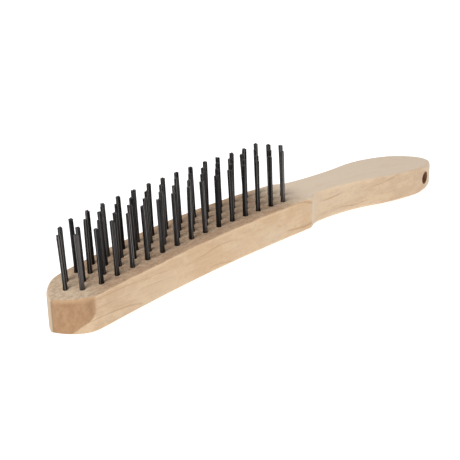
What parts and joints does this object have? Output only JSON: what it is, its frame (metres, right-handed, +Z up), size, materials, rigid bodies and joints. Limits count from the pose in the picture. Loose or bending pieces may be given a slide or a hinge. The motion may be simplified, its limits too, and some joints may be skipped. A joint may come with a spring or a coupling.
{
  "type": "wire brush",
  "caption": "Curved wooden hand brush: rows of stiff steel wire tufts on the head, a waisted handle, and a cross hole to hang it by.",
  "frame": {"origin": "middle of the brush's length and width, on the bench that its toe and the end of its handle touch", "axes": "+X from the toe along the brush to the end of the handle, +Z up from the bench along the wires, +Y to the right of the hand that holds the handle"},
  "size_m": [0.29, 0.035, 0.0552],
  "materials": {
    "block_wood": "bare sanded beech, unvarnished, with fine straight grain",
    "tuft_wire": "dark drawn steel wire, slightly oiled",
    "anchor_wire": "bare flat steel wire"
  },
  "bodies": {
    "root": {"anchors_01": "anchor_wire", "anchors_02": "anchor_wire", "anchors_03": "anchor_wire", "anchors_04": "anchor_wire", "anchors_05": "anchor_wire", "anchors_06": "anchor_wire", "anchors_07": "anchor_wire", "anchors_08": "anchor_wire", "anchors_09": "anchor_wire", "anchors_10": "anchor_wire", "anchors_11": "anchor_wire", "anchors_12": "anchor_wire", "anchors_13": "anchor_wire", "anchors_14": "anchor_wire", "handle_block": "block_wood", "toe_anchors": "anchor_wire", "toe_tuft_left": "tuft_wire", "toe_tuft_rear": "tuft_wire", "toe_tuft_right": "tuft_wire", "toe_tuft_tip": "tuft_wire", "tufts_left_01": "tuft_wire", "tufts_left_02": "tuft_wire", "tufts_left_03": "tuft_wire", "tufts_left_04": "tuft_wire", "tufts_left_05": "tuft_wire", "tufts_left_06": "tuft_wire", "tufts_left_07": "tuft_wire", "tufts_left_08": "tuft_wire", "tufts_left_09": "tuft_wire", "tufts_left_10": "tuft_wire", "tufts_left_11": "tuft_wire", "tufts_left_12": "tuft_wire", "tufts_left_13": "tuft_wire", "tufts_left_14": "tuft_wire", "tufts_right_01": "tuft_wire", "tufts_right_02": "tuft_wire", "tufts_right_03": "tuft_wire", "tufts_right_04": "tuft_wire", "tufts_right_05": "tuft_wire", "tufts_right_06": "tuft_wire", "tufts_right_07": "tuft_wire", "tufts_right_08": "tuft_wire", "tufts_right_09": "tuft_wire", "tufts_right_10": "tuft_wire", "tufts_right_11": "tuft_wire", "tufts_right_12": "tuft_wire", "tufts_right_13": "tuft_wire", "tufts_right_14": "tuft_wire"}
  },
  "joints": []
}
